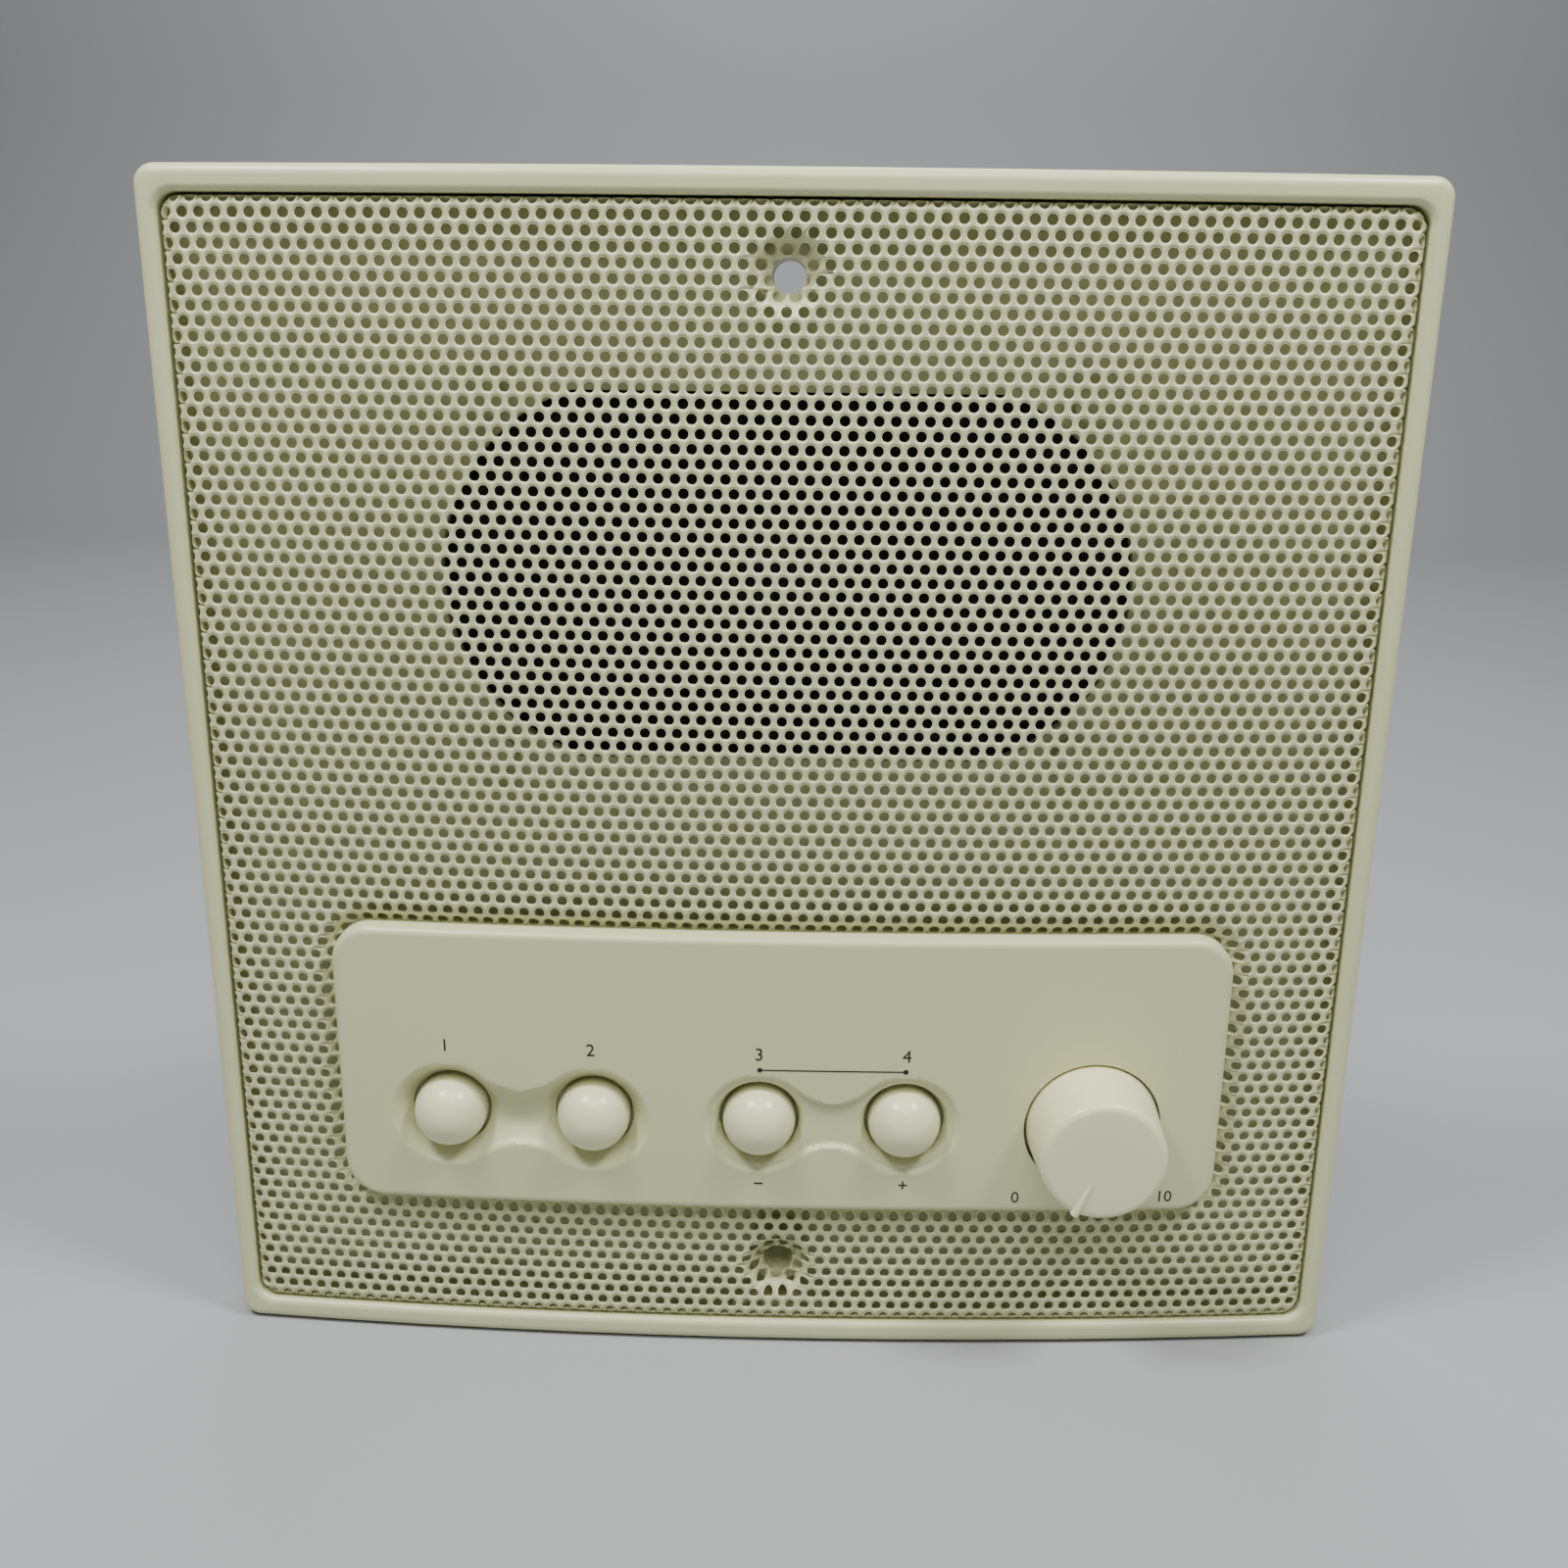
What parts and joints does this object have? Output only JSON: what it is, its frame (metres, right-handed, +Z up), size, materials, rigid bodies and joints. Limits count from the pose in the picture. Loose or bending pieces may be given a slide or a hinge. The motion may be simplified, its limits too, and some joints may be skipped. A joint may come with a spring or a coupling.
{
  "type": "wall speaker",
  "caption": "Square wall speaker for a shower room, with a bowed perforated grille, ball push buttons and a volume knob.",
  "frame": {"origin": "midway between the two mounting screw holes, on the wall surface that the frame's rear rim rests on", "axes": "+Z up, +Y into the wall, +X to the right seen from the front; the front faces -Y"},
  "size_m": [0.241, 0.079, 0.243],
  "materials": {
    "ivory_abs": "fine moulded texture, ivory",
    "cream_powder_coat": "satin powder coat on perforated steel",
    "ivory_knob": "smooth satin moulding, ivory",
    "ivory_button": "smooth semi-gloss moulding, ivory",
    "zinc_steel": "bright zinc plate",
    "pot_casing": "pressed steel",
    "pot_shaft_steel": "turned",
    "board_laminate": "solder mask over glass laminate",
    "black_resin": "moulded black resin",
    "plunger_nylon": "moulded nylon",
    "extruded_aluminium": "natural extrusion",
    "capacitor_sleeve": "shrink sleeve",
    "terminal_plastic": "moulded green nylon",
    "brass_screws": "machined",
    "basket_steel": "black enamelled pressing",
    "gasket_foam": "closed-cell foam",
    "surround_cloth": "doped cloth",
    "cone_paper": "pressed paper",
    "coil_copper": "wound enamelled wire",
    "cap_felt": "pressed felt",
    "spider_cloth": "resin-set cloth",
    "plated_steel": "yellow passivated zinc",
    "ferrite": "sintered ferrite",
    "terminal_board": "phenolic strip with tinned tags",
    "red_pvc": "PVC insulation",
    "black_pvc": "PVC insulation"
  },
  "bodies": {
    "station": {"front_frame": "ivory_abs", "speaker_grille": "cream_powder_coat", "control_panel": "ivory_abs", "panel_screws": "zinc_steel", "volume_pot": "pot_casing", "pot_washer": "zinc_steel", "pot_nut": "zinc_steel", "circuit_board": "board_laminate", "board_screws": "zinc_steel", "amplifier_chip": "black_resin", "heat_sink": "extruded_aluminium", "board_capacitors": "capacitor_sleeve", "terminal_block": "terminal_plastic", "terminal_screws": "brass_screws", "speaker_basket": "basket_steel", "speaker_gasket": "gasket_foam", "cone_surround": "surround_cloth", "cone_spider": "spider_cloth", "magnet_top_plate": "plated_steel", "speaker_magnet": "ferrite", "magnet_back_plate": "plated_steel", "speaker_screws": "zinc_steel", "speaker_terminals": "terminal_board", "speaker_lead_red": "red_pvc", "speaker_lead_black": "black_pvc", "talk_button_left_switch": "black_resin", "talk_button_right_switch": "black_resin", "music_button_left_switch": "black_resin", "music_button_right_switch": "black_resin"},
    "talk_button_left": {"talk_button_left": "ivory_button", "talk_button_left_plunger": "plunger_nylon"},
    "talk_button_right": {"talk_button_right": "ivory_button", "talk_button_right_plunger": "plunger_nylon"},
    "music_button_left": {"music_button_left": "ivory_button", "music_button_left_plunger": "plunger_nylon"},
    "music_button_right": {"music_button_right": "ivory_button", "music_button_right_plunger": "plunger_nylon"},
    "volume_knob": {"volume_knob": "ivory_knob", "pot_shaft": "pot_shaft_steel"},
    "speaker_cone": {"speaker_cone": "cone_paper", "voice_coil": "coil_copper", "dust_cap": "cap_felt"}
  },
  "joints": [
    {"name": "talk_left_press", "type": "slide", "parent": "station", "child": "talk_button_left", "axis": [0, 1, 0], "range_m": [0, 0.0012], "stiffness_N_per_m": 1500},
    {"name": "talk_right_press", "type": "slide", "parent": "station", "child": "talk_button_right", "axis": [0, 1, 0], "range_m": [0, 0.0012], "stiffness_N_per_m": 1500},
    {"name": "music_left_press", "type": "slide", "parent": "station", "child": "music_button_left", "axis": [0, 1, 0], "range_m": [0, 0.0012], "stiffness_N_per_m": 1500},
    {"name": "music_right_press", "type": "slide", "parent": "station", "child": "music_button_right", "axis": [0, 1, 0], "range_m": [0, 0.0012], "stiffness_N_per_m": 1500},
    {"name": "volume_turn", "type": "hinge", "parent": "station", "child": "volume_knob", "pos_m": [0.066, -0.03, -0.067], "axis": [0, 1, 0], "range_deg": [0, 300]},
    {"name": "cone_travel", "type": "slide", "parent": "station", "child": "speaker_cone", "axis": [0, 1, 0], "range_m": [-0.001, 0.001], "stiffness_N_per_m": 2000, "deforming": ["cone_surround", "cone_spider"]}
  ]
}
